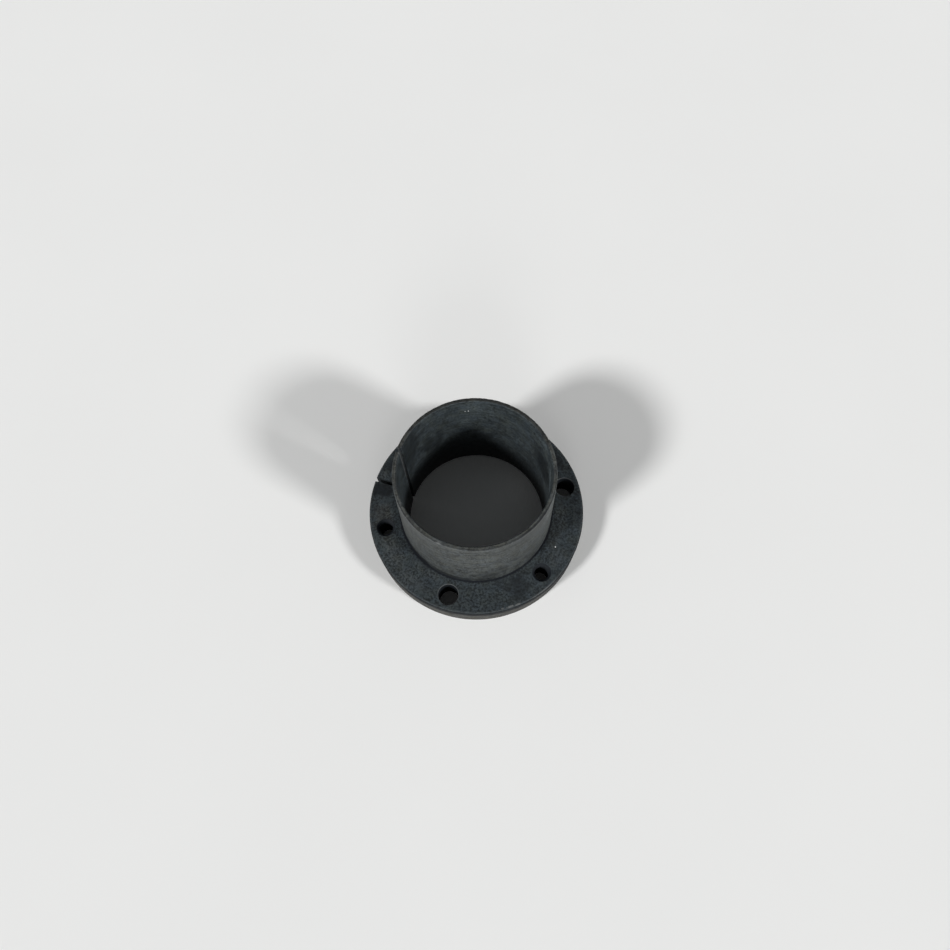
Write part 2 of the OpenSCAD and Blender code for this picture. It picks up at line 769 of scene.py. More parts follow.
        end_row = g.math("LESS_THAN", row, 0.5) + g.math("GREATER_THAN", row, rows - 1.5)
        radius = (core + (outer - core) * at_root) * end_row.inverse()
        helix = g.polar(radius, around * math.tau, held)
        shaped = g.field("GeometryNodeSetPosition", {"Geometry": grid, "Position": helix})
        return g.field(
            "GeometryNodeMergeByDistance", {"Geometry": shaped, "Distance": self.THREAD_WELD}
        )

    def _saw_blade(self) -> Field:
        """Makes the slab that the split is sawn with, its faces wandering a little.

        Returns:
            The slab, from inside the bore to outside the flange.
        """
        g, b = self.graph, self.bushing
        reach = self._input("Flange Radius") + self._input("Overcut")
        height = self._input("Length") + self._input("Overcut") * 2.0
        inner = self._input("Bore Radius") * b.saw_start
        slab = g.field(
            "GeometryNodeMeshCube",
            {
                "Size": g.vector(reach - inner, self._input("Split Width"), height),
                "Vertices X": b.saw_grid[0],
                "Vertices Y": b.saw_grid[1],
                "Vertices Z": b.saw_grid[2],
            },
        )
        stretched = g.tint(g.field("GeometryNodeInputPosition"), b.saw_ripple)
        noise = g.field(
            "ShaderNodeTexNoise", {"Vector": stretched, "Scale": 1.0, "Detail": b.saw_detail}
        )
        wander = (noise - 0.5) * self._input("Saw Wander")
        worn = g.field(
            "GeometryNodeSetPosition",
            {"Geometry": slab, "Offset": g.vector(0.0, wander, 0.0)},
        )
        middle = g.vector((reach + inner) * 0.5, 0.0, self._input("Length") * 0.5)
        moved = g.field("GeometryNodeTransform", {"Geometry": worn, "Translation": middle})
        turn = g.vector(0.0, 0.0, self._input("Split Angle"))
        return g.field("GeometryNodeTransform", {"Geometry": moved, "Rotation": turn})

    def _nicks(self, radius: Field, height: Field, nicks: Nicks) -> Field:
        """Scatters small dents round an outer edge.

        Args:
            radius: radius of the edge.
            height: height of the edge.
            nicks: how these dents are drawn.

        Returns:
            The dents as one mesh.
        """
        g = self.graph
        seed = self._input("Seed") + float(nicks.seed_step)
        count = self._input("Nick Count")
        points = g.field("GeometryNodePoints", {"Count": count})
        index = g.field("GeometryNodeInputIndex")

        def drawn(limits: Limits, draw: int) -> Field:
            """A number between two limits, drawn for each dent."""
            node = g.add(
                "FunctionNodeRandomValue",
                {2: limits[0], 3: limits[1], "ID": index, "Seed": seed + float(draw)},
                data_type="FLOAT",
            )
            return Field(g, node.outputs[1])

        angle = (index + drawn(nicks.place, 1)) / count * math.tau
        length = self._input("Nick Length") * drawn(nicks.length, 2) * nicks.scale
        depth = self._input("Nick Depth") * drawn(nicks.depth, 3) * nicks.scale
        spots = g.polar(radius, angle, height)
        placed = g.field("GeometryNodeSetPosition", {"Geometry": points, "Position": spots})
        ball = g.field(
            "GeometryNodeMeshIcoSphere",
            {"Radius": 1.0, "Subdivisions": self.bushing.nick_detail},
        )
        turn = g.field(
            "FunctionNodeEulerToRotation", {0: g.vector(drawn(nicks.tilt, 4), 0.0, angle)}
        )
        copies = g.field(
            "GeometryNodeInstanceOnPoints",
            {
                "Points": placed,
                "Instance": ball,
                "Rotation": turn,
                "Scale": g.vector(depth, length, depth),
            },
        )
        return g.field("GeometryNodeRealizeInstances", {"Geometry": copies})

    def _cut(self, body: Field, tool: Field) -> Field:
        """Takes a tool's volume out of the body.

        Args:
            body: the mesh to cut.
            tool: the closed mesh that it loses.

        Returns:
            The body that is left.
        """
        node = self.graph.add(
            "GeometryNodeMeshBoolean",
            {"Mesh 1": body, "Mesh 2": tool},
            operation="DIFFERENCE",
            solver="MANIFOLD",
        )
        return Field(self.graph, node.outputs[0])

    def _build(self) -> None:
        """Puts the steps in order: turn, wear, drill, tap, countersink, saw, nick and dress."""
        g = self.graph
        holes = self._input("Hole Segments")
        body = self._worn_rim(self._lathe(Tool.BODY, self._input("Body Segments")))
        drill = self._lathe(Tool.CLEARANCE_DRILL, holes)
        sink = self._lathe(Tool.COUNTERSINK, holes)
        under = g.field(
            "GeometryNodeTransform", {"Geometry": sink, "Rotation": (math.pi, 0.0, 0.0)}
        )
        flange_top = self._input("Flange Thickness")
        tools = [
            self._ring(drill, self.FIRST_CLEARANCE, 0.0),
            self._ring(self._thread(), self.FIRST_TAPPED, 0.0),
            self._ring(sink, self.FIRST_TAPPED, flange_top),
            self._ring(under, self.FIRST_TAPPED, 0.0),
            self._saw_blade(),
            self._nicks(
                self._input("Mouth Radius"), self._input("Length"), self.bushing.mouth_nicks
            ),
            self._nicks(self._input("Flange Radius"), flange_top, self.bushing.flange_nicks),
        ]
        for tool in tools:
            body = self._cut(body, tool)
        smooth = g.field("GeometryNodeSetShadeSmooth", {"Geometry": body, "Shade Smooth": True})
        bend = g.field("GeometryNodeInputMeshEdgeAngle")
        sharp = g.math("GREATER_THAN", bend, self._input("Sharp Angle"))
        edged = g.field(
            "GeometryNodeSetShadeSmooth",
            {"Geometry": smooth, "Selection": sharp, "Shade Smooth": False},
            domain="EDGE",
        )
        real = g.field("GeometryNodeRealizeInstances", {"Geometry": edged})
        dressed = g.field(
            "GeometryNodeSetMaterial", {"Geometry": real, "Material": self._input("Finish")}
        )
        g.add("NodeGroupOutput", {"Bushing": dressed})


class Face(Enum):
    """Faces of the bushing that a mark can lie on."""

    FLANGE = "flange"
    BARREL = "barrel"
    BORE = "bore"
    SIDE = "side"
    RIM = "rim"

    def is_flat(self) -> bool:
        """Whether the face lies square to the axis."""
        return self in (Face.FLANGE, Face.RIM)


@dataclass(frozen=True)
class Ramp:
    """Where a smooth step starts and stops, in millimetres past an edge."""

    start: float
    stop: float

    def past(self, edge: float) -> Limits:
        """Start and stop of the step, for an edge at this radius or height."""
        return edge + self.start, edge + self.stop


@dataclass(frozen=True)
class Borders:
    """Smooth borders of the faces, each named for the edge that it lies beside."""

    over_flange: Ramp = Ramp(0.1, 0.5)
    under_flange: Ramp = Ramp(-1.4, -0.9)
    under_mouth: Ramp = Ramp(-0.20, -0.04)
    flange_past_bore: Ramp = Ramp(2.0, 2.5)
    barrel_past_bore: Ramp = Ramp(0.55, 0.75)
    bore_wall: Ramp = Ramp(0.02, 0.12)
    inside_rim: Ramp = Ramp(-0.40, -0.05)


@dataclass(frozen=True)
class Edge:
    """An edge made paler or darker, for wear, grime, painted highlights, painted reflections and
    painted shade: its place in the section in millimetres, reach and strength.

    Its core is the share of its reach at full strength, and ragged is how uneven it ends.
    """

    radius: float
    height: float
    reach: float
    strength: float
    core: float = 0.4
    ragged: float = 1.6


@dataclass(frozen=True)
class Line:
    """A thin painted highlight beside an edge.

    Its offset is the millimetres from the edge to its middle, and its width where it starts
    to fade and where it ends, in millimetres from the middle.
    """

    offset: float
    width: Limits
    strength: float


@dataclass(frozen=True)
class Mark:
    """A mark on a face.

    Its angle is in degrees round the photograph. It lies at a height on an upright face and
    at a radius on a flat one. Its slant is in degrees from the turning, its core is the share
    of its size at full strength, and ragged is how uneven its border is.
    """

    face: Face
    angle: float
    at: float
    along: float
    across: float
    strength: float = 1.0
    slant: float = 0.0
    core: float = 0.3
    ragged: float = 1.0


@dataclass(frozen=True)
class Grain:
    """A layer of the coat's mottling: repeats to the millimetre, layers, roughness, gain."""

    scale: float
    detail: float
    roughness: float
    gain: float = 1.0


class SurfaceGraph(Graph):
    """Node graph of a material, which knows where on the bushing each point is."""

    def __init__(self, tree: bpy.types.NodeTree, shape: BushingShape, turn: float) -> None:
        """Works out place, radius and angle in millimetres and radians.

        Args:
            tree: the material's node tree.
            shape: sizes of the bushing.
            turn: degrees from the photograph's directions to the part's.
        """
        super().__init__(tree)
        self.shape = shape
        self.turn = turn
        self.place = self.shade(self.add("ShaderNodeTexCoord").outputs["Object"], 1.0 / MM)
        self.x, self.y, self.z = self.parts(self.place)
        self.radius = self.math("SQRT", self.x * self.x + self.y * self.y)
        self.angle = self.math("ARCTAN2", self.y, self.x)
        self.masks = self._face_masks()

    def _face_masks(self) -> Dict[Face, Field]:
        """Works out which face each point lies on, from its place alone.

        Returns:
            A mask for each face.
        """
        borders = Borders()
        top, length = self.shape.flange_thickness / MM, self.shape.length / MM
        bore, rim = self.shape.bore_radius / MM, self.shape.flange_radius / MM
        above = self.z.rise(*borders.over_flange.past(top))
        on_rim = self.z.rise(*borders.under_mouth.past(length))
        on_flange = above.inverse() * self.z.rise(*borders.under_flange.past(top))
        return {
            Face.FLANGE: on_flange * self.radius.rise(*borders.flange_past_bore.past(bore)),
            Face.BARREL: above * self.radius.rise(*borders.barrel_past_bore.past(bore)),
            Face.BORE: self.radius.fall(*borders.bore_wall.past(bore)) * on_rim.inverse(),
            Face.SIDE: self.radius.rise(*borders.inside_rim.past(rim)),
            Face.RIM: on_rim,
        }

    def noise(self, where: Field, grain: Grain) -> Field:
        """Adds a noise texture.

        Args:
            where: the vector that it is read at.
            grain: its scale, layers and gain.

        Returns:
            Noise round 0, times the gain.
        """
        texture = self.field(
            "ShaderNodeTexNoise",
            {
                "Vector": where,
                "Scale": grain.scale,
                "Detail": grain.detail,
                "Roughness": grain.roughness,
            },
        )
        return (texture - 0.5) * grain.gain

    def turned_noise(self, grain: Grain, pitch: Limits) -> Field:
        """Adds a noise that is drawn out round the axis, as a lathe leaves it.

        Args:
            grain: its layers and gain.
            pitch: repeats to the millimetre round the axis, and across the turning.

        Returns:
            Noise round 0, times the gain.
        """
        around, across = pitch
        rise = (self.radius + self.z) * across
        return self.noise(self.vector(self.x * around, self.y * around, rise), grain)

    def mix(self, under: Union[Colour, Field], over: Union[Colour, Field], mask: Value) -> Field:
        """Lays one colour over another.

        Args:
            under: the colour below.
            over: the colour on top.
            mask: how much of the top shows.

        Returns:
            The mixed colour.
        """
        node = self.tree.nodes.new("ShaderNodeMix")
        node.data_type = "RGBA"
        # The sockets for colours come after those for numbers and vectors
        for socket, colour in ((node.inputs[6], under), (node.inputs[7], over)):
            self.feed(socket, colour if isinstance(colour, Field) else (*colour, 1.0))
        self.feed(node.inputs[0], mask)
        return Field(self, node.outputs[2])

    def blend(self, under: Value, over: Value, mask: Field) -> Field:
        """Goes from one number to another as the mask goes from 0 to 1."""
        return mask * over + mask.inverse() * under

    def most(self, masks: Sequence[Field]) -> Field:
        """Takes the strongest of several masks.

        Args:
            masks: the masks.

        Returns:
            The largest value at each point.
        """
        result = masks[0]
        for mask in masks[1:]:
            result = self.math("MAXIMUM", result, mask)
        return result

    def near_edge(self, edge: Edge, ragged: Field) -> Field:
        """Mask along an edge.

        Args:
            edge: the edge.
            ragged: noise that makes its border uneven.

        Returns:
            The edge's strength on the edge and 0 away from it.
        """
        out = self.radius - edge.radius
        up = self.z - edge.height
        distance = self.math("SQRT", out * out + up * up) / edge.reach
        return (distance + ragged * edge.ragged).fall(edge.core, 1.0) * edge.strength

    def line(self, distance: Field, line: Line) -> Field:
        """Mask of a thin line.

        Args:
            distance: millimetres from the edge that the line lies beside.
            line: the line.

        Returns:
            The line's strength on it and 0 away from it.
        """
        return (distance - line.offset).size().fall(*line.width) * line.strength

    def nearest_hole(self) -> Tuple[Field, Field]:
        """Finds the nearest screw hole by its sector round the axis.

        Returns:
            Distance in millimetres from the hole's axis, and 1 where the hole is tapped.
        """
        step = math.pi / self.shape.hole_count
        sector = self.math("FLOOR", self.angle / step)
        from_middle = self.angle - (sector + 0.5) * step
        circle = self.shape.hole_circle_radius / MM
        square = (
            self.radius * self.radius
            + circle * circle
            - self.radius * self.math("COSINE", from_middle) * (2.0 * circle)
        )
        tapped = self.math("FLOORED_MODULO", sector, 2.0)
        return self.math("SQRT", self.math("MAXIMUM", square, 0.0)), tapped

    def mark(self, mark: Mark, ragged: Optional[Field] = None) -> Field:
        """Mask of a mark, stretched along and across its slant.

        Args:
            mark: the mark.
            ragged: noise that makes its border uneven, if any.

        Returns:
            The mark's strength on it and 0 away from it.
        """
        radii = {
            Face.BARREL: self.shape.barrel_foot_radius / MM,
            Face.BORE: self.shape.bore_radius / MM,
            Face.SIDE: self.shape.flange_radius / MM,
        }
        turned = self.angle - math.radians(mark.angle + self.turn)
        along = self.math("WRAP", turned, math.pi, -math.pi) * radii.get(mark.face, mark.at)
        across = (self.radius if mark.face.is_flat() else self.z) - mark.at
        if mark.slant:
            slant = math.radians(mark.slant)
            along, across = (
                along * math.cos(slant) + across * math.sin(slant),
                across * math.cos(slant) - along * math.sin(slant),
            )
        along, across = along / mark.along, across / mark.across
        distance = self.math("SQRT", along * along + across * across)
        if ragged is not None:
            distance = distance + ragged * mark.ragged
        return distance.fall(mark.core, 1.0) * self.masks[mark.face] * mark.strength


@dataclass(frozen=True)
class PhosphateFinish:
    """Dark phosphated iron: matt, mottled and faintly turned, with paler worn places, and with
    painted highlights, reflections and shade.

    Places, borders and reaches are in millimetres, and depths in metres. A gain scales a noise,
    and a name that ends in ragged says how much noise makes a border uneven.
    """

    name: str = "phosphated_iron"
    turn: float = PHOTO_TURN
    flange: Colour = (0.0240, 0.0306, 0.0340)
    pale: Colour = (0.0420, 0.0430, 0.0400)
    barrel: Colour = (0.0440, 0.0486, 0.0482)
    rim: Colour = (0.0508, 0.0542, 0.0518)
    bore: Colour = (0.0395, 0.0484, 0.0519)
    # Painted shade for the walls of the screw holes
    hole: Colour = (0.0070, 0.0095, 0.0130)
    side: Colour = (0.0080, 0.0095, 0.0110)
    # Painted reflection of the floor on the lower band of the flange's side
    side_painted_reflection: Colour = (0.0570, 0.0565, 0.0530)
    # Colour of worn places and of painted highlights
    rubbed_and_highlit: Colour = (0.1150, 0.1200, 0.1200)
    # Colour of dark patches, and of painted shade and painted shadow
    oil_and_shade: Colour = (0.0050, 0.0062, 0.0080)
    # Colour of grime and painted shade in the corner and on the mouth's edge
    dirt_and_shade: Colour = (0.0030, 0.0042, 0.0070)
    dust: Colour = (0.8000, 0.8000, 0.8000)
    cool: Colour = (0.965, 1.000, 1.080)
    warm: Colour = (1.035, 1.000, 0.915)
    flange_roughness: float = 0.74
    side_roughness: float = 0.95
    barrel_roughness: float = 0.62
    bore_roughness: float = 0.50
    rubbed_and_highlit_roughness: float = 0.42
    dirt_and_shade_roughness: float = 0.98
    refractive_index: float = 1.33
    crystal_roughness: float = 0.16
    mottle_roughness: float = 0.20
    oil_and_shade_gloss: float = 0.05
    clouds: Grain = Grain(0.09, 1.0, 0.5)
    mottle: Grain = Grain(0.34, 2.0, 0.60)
    crystal: Grain = Grain(1.25, 2.0, 0.75)
    turning: Grain = Grain(1.0, 2.0, 0.60)
    streaks: Grain = Grain(1.0, 2.0, 0.55, 1.9)
    patches: Grain = Grain(0.16, 1.0, 0.5, 2.0)
    hue: Grain = Grain(0.30, 2.0, 0.6, 2.2)
    clouds_gain: float = 0.60
    mottle_gain: float = 2.50
    crystal_gain: float = 6.40
    turning_gain: float = 2.8
    bore_gain: float = 0.95
    side_gain: float = 0.62
    upright_grain: float = 0.62
    upright_mottle: float = 0.64
    flat_turning: float = 0.35
    least_grain: float = 0.3
    oil_and_shade_smoothing: float = 0.6
    softening: float = 0.70
    turning_pitch: Limits = (0.25, 3.2)
    streak_pitch: Limits = (0.10, 0.95)
    crystal_depth: float = 0.010 * MM
    turning_depth: float = 0.005 * MM
    # Painted shade on the far side of the rim
    far_rim: Limits = (0.0, 24.0)
    far_rim_painted_shade: float = 0.60
    mark_ragged: float = 1.2
    pale_share: float = 0.9
    side_line: Limits = (7.2, 8.8)
    side_line_ragged: float = 3.0
    split_side: Limits = (-1.0, 0.0)
    # Painted shade on the faces of the split and low in the bore
    slit_border: Limits = (0.02, 0.12)
    slit_shade: float = 0.4
    low_bore: Limits = (4.0, 26.0)
    low_bore_shade: float = 0.85
    hole_border: Limits = (0.02, 0.14)
    dirt_and_shade_ragged: float = 0.4
    mouth_front: Limits = (-10.0, -2.0)
    rubbed_and_highlit_ragged: float = 0.5
    scratch_and_highlight_ragged: float = 2.0
    # Painted highlights: on the lit face of the saw cut in the bore, and on the chamfers of the
    # clearance holes
    slit_highlight: Line = Line(0.20, (0.10, 0.26), 0.8)
    slit_highlight_wall: Ramp = Ramp(0.3, 0.6)
    slit_highlight_height: Limits = (20.0, 34.0)
    chamfer_highlight: Line = Line(0.15, (0.06, 0.17), 0.45)
    chamfer_highlight_height: Ramp = Ramp(-0.5, -0.3)

    def specks(self) -> List[Mark]:
        """White specks of dust that cling to the bore and the flange."""
        return [
            Mark(Face.BORE, 92.8, 39.2, 0.27, 0.32, core=0.5),
            Mark(Face.BORE, 95.4, 39.2, 0.22, 0.34, 0.6, core=0.5),
            Mark(Face.FLANGE, -30.6, 32.6, 0.26, 0.28, core=0.5),
        ]

    def scratches_and_highlights(self) -> List[Mark]:
        """Bright marks where edges have been knocked, and painted highlights along front edges."""
        return [
            Mark(Face.FLANGE, -74.5, 38.9, 1.5, 0.38, core=0.6),
            Mark(Face.FLANGE, -70.3, 39.0, 1.2, 0.34, 0.8, core=0.6),
            Mark(Face.FLANGE, -78.5, 38.8, 0.6, 0.30, 0.7, core=0.6),
            # Painted highlights along the front edges of the flange and the mouth
            Mark(Face.FLANGE, -55.0, 39.3, 7.0, 0.32, 0.45),
            Mark(Face.BARREL, -117.0, 45.7, 1.2, 0.5, 0.8),
            Mark(Face.BARREL, -105.0, 45.4, 3.4, 0.5, 0.4),
        ]

    def pale_and_highlit_places(self) -> List[Mark]:
        """Paler places, their strength the share that they gain: thin coat on the flange, painted
        highlights and reflections on the barrel and in the bore.
        """
        return [
            Mark(Face.FLANGE, -153.0, 34.8, 9.0, 4.6, 0.40),
            Mark(Face.FLANGE, -179.0, 34.6, 7.5, 5.0, 0.80),
            Mark(Face.FLANGE, -132.0, 36.0, 8.0, 4.0, 0.30),
            Mark(Face.FLANGE, -128.0, 30.0, 9.0, 2.4, 0.25),
            Mark(Face.FLANGE, -36.0, 35.5, 6.0, 3.6, 0.25),
            Mark(Face.FLANGE, -14.0, 31.2, 13.0, 3.6, 0.35),
            Mark(Face.FLANGE, 157.0, 37.4, 2.6, 2.6, 0.45, ragged=0.6),
            # Painted highlights and painted light on the barrel
            Mark(Face.BARREL, -26.0, 38.5, 8.0, 9.0, 0.50),
            Mark(Face.BARREL, -28.0, 21.0, 8.0, 14.0, 0.36),
            Mark(Face.BARREL, -84.0, 27.5, 9.0, 5.0, 0.25),
            Mark(Face.BARREL, -92.0, 33.0, 15.0, 6.5, 0.14),
            Mark(Face.BARREL, -110.0, 43.0, 9.0, 3.0, 0.16),
            # A painted highlight and painted reflections in the bore
            Mark(Face.BORE, -0.5, 34.5, 7.5, 2.3, 1.60, 57.0, ragged=0.4),
            Mark(Face.BORE, 21.0, 42.8, 5.0, 2.6, 0.60, ragged=0.5),
            Mark(Face.BORE, 80.0, 40.0, 9.0, 6.0, 0.20),
        ]

    def oil_and_shade_places(self) -> List[Mark]:
        """Darker places: patches on the flange, and painted shade, painted shadow and a painted
        dark reflection on the barrel, the side, the rim and in the bore.
        """
        return [
            Mark(Face.FLANGE, 166.0, 35.6, 3.3, 4.8, 0.70, core=0.6, ragged=0.8),
            Mark(Face.FLANGE, -66.0, 33.5, 6.0, 5.5, 0.45, core=0.5),
            Mark(Face.FLANGE, -133.0, 28.8, 6.0, 1.8, 0.40),
            Mark(Face.FLANGE, 149.0, 36.0, 4.0, 3.2, 0.50, ragged=0.7),
            Mark(Face.FLANGE, 27.5, 36.0, 5.5, 2.6, 0.55, ragged=0.7),
            # Painted shade on the lower barrel
            Mark(Face.BARREL, -146.0, 11.6, 15.0, 5.4, 1.00, core=0.5, ragged=0.6),
            Mark(Face.BARREL, -110.0, 11.3, 18.0, 4.6, 0.70, core=0.5, ragged=0.6),
            Mark(Face.BARREL, -80.0, 18.5, 13.0, 7.0, 0.30),
            # Painted shade low on the flange's side
            Mark(Face.SIDE, -35.0, 4.0, 18.0, 8.0, 0.85, ragged=0.5),
            # Painted shadow and a painted dark reflection in the bore
            Mark(Face.BORE, 16.5, 29.3, 9.4, 8.6, 0.68, 20.0, 0.45, ragged=0.4),
            Mark(Face.BORE, 151.0, 35.0, 10.0, 17.0, 0.46),
            Mark(Face.BORE, 124.0, 26.0, 10.0, 9.0, 0.48),
            Mark(Face.BORE, 77.0, 20.0, 10.0, 7.0, 0.50),
            # Painted shade along the rim's edges and the mouth's outer edge
            Mark(Face.RIM, -46.0, 26.66, 12.0, 0.40, 0.85, core=0.5, ragged=0.15),
            Mark(Face.RIM, -168.0, 25.60, 6.0, 0.30, 0.40, ragged=0.15),
            Mark(Face.BARREL, -47.0, 45.8, 11.0, 0.9, 0.60, core=0.5, ragged=0.2),
        ]

    def rubbed_and_highlit_edges(self, shape: BushingShape) -> List[Edge]:
        """The edges painted paler: painted highlights, a painted reflection and a worn edge."""
        top, rim = shape.flange_thickness / MM, shape.flange_radius / MM
        return [
            # Painted highlight along the flange's top edge
            Edge(rim - 0.50, top, 0.34, 0.10),
            # Painted reflection along the flange's foot
            Edge(rim - 0.40, 0.3, 0.70, 0.60),
            # Painted highlight along the mouth
            Edge(shape.barrel_mouth_radius / MM + 0.03, shape.length / MM - 0.9, 0.8, 0.20),
            # Worn edge at the foot of the bore
            Edge(shape.bore_radius / MM + 0.8, 0.8, 0.60, 0.40),
        ]

    def dirty_and_shaded_edges(self, shape: BushingShape) -> List[Edge]:
        """The corner of the barrel's foot, grime and painted shade, and the edge of its mouth,
        painted shade.
        """
        return [
            # Grime and painted shade in the corner of the barrel's foot
            Edge(shape.barrel_foot_radius / MM + 0.15, shape.flange_thickness / MM, 0.72, 0.92),
            # Painted shade on the mouth's edge
            Edge(shape.barrel_mouth_radius / MM - 0.25, shape.length / MM, 0.36, 0.45),
        ]

    def make(self, shape: BushingShape) -> bpy.types.Material:
        """Builds the material.

        Args:
            shape: sizes of the bushing, which say where its faces and edges are.

        Returns:
            The material.
        """
        material = bpy.data.materials.new(self.name)
        material.use_nodes = True
        material.node_tree.nodes.clear()
        CoatGraph(material.node_tree, shape, self).dress()
        return material


class CoatGraph(SurfaceGraph):
    """Node graph of the phosphate coat: its colours, its grain, its wear, its painted light and
    shade, and its relief.
    """

    def __init__(
        self, tree: bpy.types.NodeTree, shape: BushingShape, finish: PhosphateFinish
    ) -> None:
        """Makes the noises and masks that several layers of the coat share.

        Args:
            tree: the material's node tree.
            shape: sizes of the bushing.
            finish: the coat's colours, strengths and marks.
        """
        super().__init__(tree, shape, finish.turn)
        self.finish = finish
        self.clouds = self.noise(self.place, finish.clouds)
        self.mottle = self.noise(self.place, finish.mottle)
        self.crystal = self.noise(self.place, finish.crystal)
        self.turning = self.turned_noise(finish.turning, finish.turning_pitch)
        turn = math.radians(finish.turn)
        # Millimetres behind the axis, as the photograph is taken
        self.away = self.y * math.cos(turn) - self.x * math.sin(turn)
        self.split_side = self.x.fall(*finish.split_side)
        self.upright = self.most([self.masks[f] for f in (Face.BARREL, Face.BORE, Face.SIDE)])
        self.from_hole, self.tapped = self.nearest_hole()
        self.oil_and_shade_marks = self.marked(finish.oil_and_shade_places())

    def marked(self, marks: Sequence[Mark]) -> Field:
        """Masks all the marks of a list, with uneven borders."""
        ragged = (self.mottle + self.clouds) * self.finish.mark_ragged
        return self.most([self.mark(mark, ragged) for mark in marks])

    def base(self) -> Field:
        """Colours the faces, with their paler places and painted highlights, a painted reflection
        along the lower side of the flange, and a cast from cool to warm.

        Returns:
            The colour, without grain.
        """
        f = self.finish
        colour = self.mix(f.flange, f.barrel, self.masks[Face.BARREL])
        colour = self.mix(colour, f.bore, self.masks[Face.BORE])
        colour = self.mix(colour, f.rim, self.masks[Face.RIM])
        # The lower band of the flange's side is painted lighter: a painted reflection of the floor.
        low_side = (self.z + self.mottle * f.side_line_ragged).fall(*f.side_line)
        side = self.mix(f.side, f.side_painted_reflection, low_side)
        colour = self.mix(colour, side, self.masks[Face.SIDE])
        pale = self.marked(f.pale_and_highlit_places())
        paler = self.shade(colour, pale + 1.0)
        colour = self.mix(paler, f.pale, pale * self.masks[Face.FLANGE] * f.pale_share)
        cast = self.mix(f.cool, f.warm, self.noise(self.place, f.hue) + 0.5)
        return self.tint(colour, cast)

    def tone(self) -> Field:
        """Adds up the clouds, mottling, crystals, streaks and turning lines, and darkens the far
        side of the rim with painted shade.

        Returns:
            How light the coat is, as a factor round 1.
        """
        f = self.finish
        on_rim = self.masks[Face.RIM]
        grain_share = self.blend(1.0, f.upright_grain, self.most([self.upright, on_rim]))
        mottle_share = self.blend(1.0, f.upright_mottle, self.upright)
        turning_share = self.blend(f.flat_turning, 1.0, self.upright)
        patchy = self.math("MAXIMUM", self.noise(self.place, f.patches) + 1.0, f.least_grain)
        grainy = patchy * (self.oil_and_shade_marks * -f.oil_and_shade_smoothing + 1.0) * grain_share
        tone = self.clouds * f.clouds_gain
        tone = tone + self.mottle * mottle_share * f.mottle_gain
        tone = tone + self.crystal * grainy * f.crystal_gain
        tone = tone + self.turned_noise(f.streaks, f.streak_pitch) * self.upright
        tone = tone + self.turning * turning_share * f.turning_gain
        tone = tone * self.blend(1.0, f.bore_gain, self.masks[Face.BORE])
        tone = tone * self.blend(1.0, f.side_gain, self.masks[Face.SIDE])
        # The strongest grain is held back, so that no point turns black
        tone = tone / (tone.size() * f.softening + 1.0) + 1.0
        # The far side of the rim is darkened: painted shade.
        return tone * (self.away.rise(*f.far_rim) * on_rim * -f.far_rim_painted_shade + 1.0)

    def oiled_and_shaded(self) -> Field:
        """Masks what is painted dark: the darker places, and painted shade in the split and low in
        the bore.

        Returns:
            The mask.
        """
        f = self.finish
        # The faces of the split and the bore towards its foot are darkened: painted shade.
        past_face = self.y.size() - self.shape.split_width / MM / 2
        slit = past_face.fall(*f.slit_border) * self.split_side
        low_bore = self.masks[Face.BORE] * self.z.fall(*f.low_bore)
        return self.most([self.oil_and_shade_marks, slit * f.slit_shade, low_bore * f.low_bore_shade])

    def in_hole(self) -> Field:
        """Masks the walls of the screw holes, which are painted dark as painted shade.

        Returns:
            The mask.
        """
        clearance = self.shape.clearance_radius / MM
        wall = self.blend(clearance, self.shape.countersink_radius / MM, self.tapped)
        return (self.from_hole - wall).fall(*self.finish.hole_border)

    def dirt_and_shade_mask(self) -> Field:
        """Masks grime and painted shade in the corner, and painted shade on the front of the
        mouth's edge.

        Returns:
            The mask.
        """
        f = self.finish
        ragged = self.crystal * f.dirt_and_shade_ragged
        corner, mouth = (self.near_edge(edge, ragged) for edge in f.dirty_and_shaded_edges(self.shape))
        # The mouth's edge is darkened only on its front: painted shade.
        return self.most([corner, mouth * self.away.fall(*f.mouth_front)])

    def rubbed_and_highlit(self) -> Field:
        """Masks what is made bright: wear, scratch marks, painted highlights and a painted
        reflection.

        Returns:
            The mask.
        """
        f, shape = self.finish, self.shape
        # Painted highlight on the lit face of the saw cut in the bore
        past_split = (self.y + shape.split_width / MM / 2) * -1.0
        slit_highlight = self.line(past_split, f.slit_highlight) * self.split_side * self.z.rise(*f.slit_highlight_height)
        slit_highlight = slit_highlight * self.radius.fall(*f.slit_highlight_wall.past(shape.bore_radius / MM))
        # Painted highlight on the chamfers of the clearance holes
        past_wall = self.from_hole - shape.clearance_radius / MM
        chamfer_highlight = self.line(past_wall, f.chamfer_highlight) * self.tapped.inverse()
        chamfer_highlight = chamfer_highlight * self.z.rise(*f.chamfer_highlight_height.past(shape.flange_thickness / MM))
        ragged = self.mottle + self.crystal * f.rubbed_and_highlit_ragged
        edges = [self.near_edge(edge, ragged) for edge in f.rubbed_and_highlit_edges(shape)]
        scratches_and_highlights = [self.mark(mark, self.crystal * f.scratch_and_highlight_ragged) for mark in f.scratches_and_highlights()]
        return self.most(edges + scratches_and_highlights + [slit_highlight, chamfer_highlight])

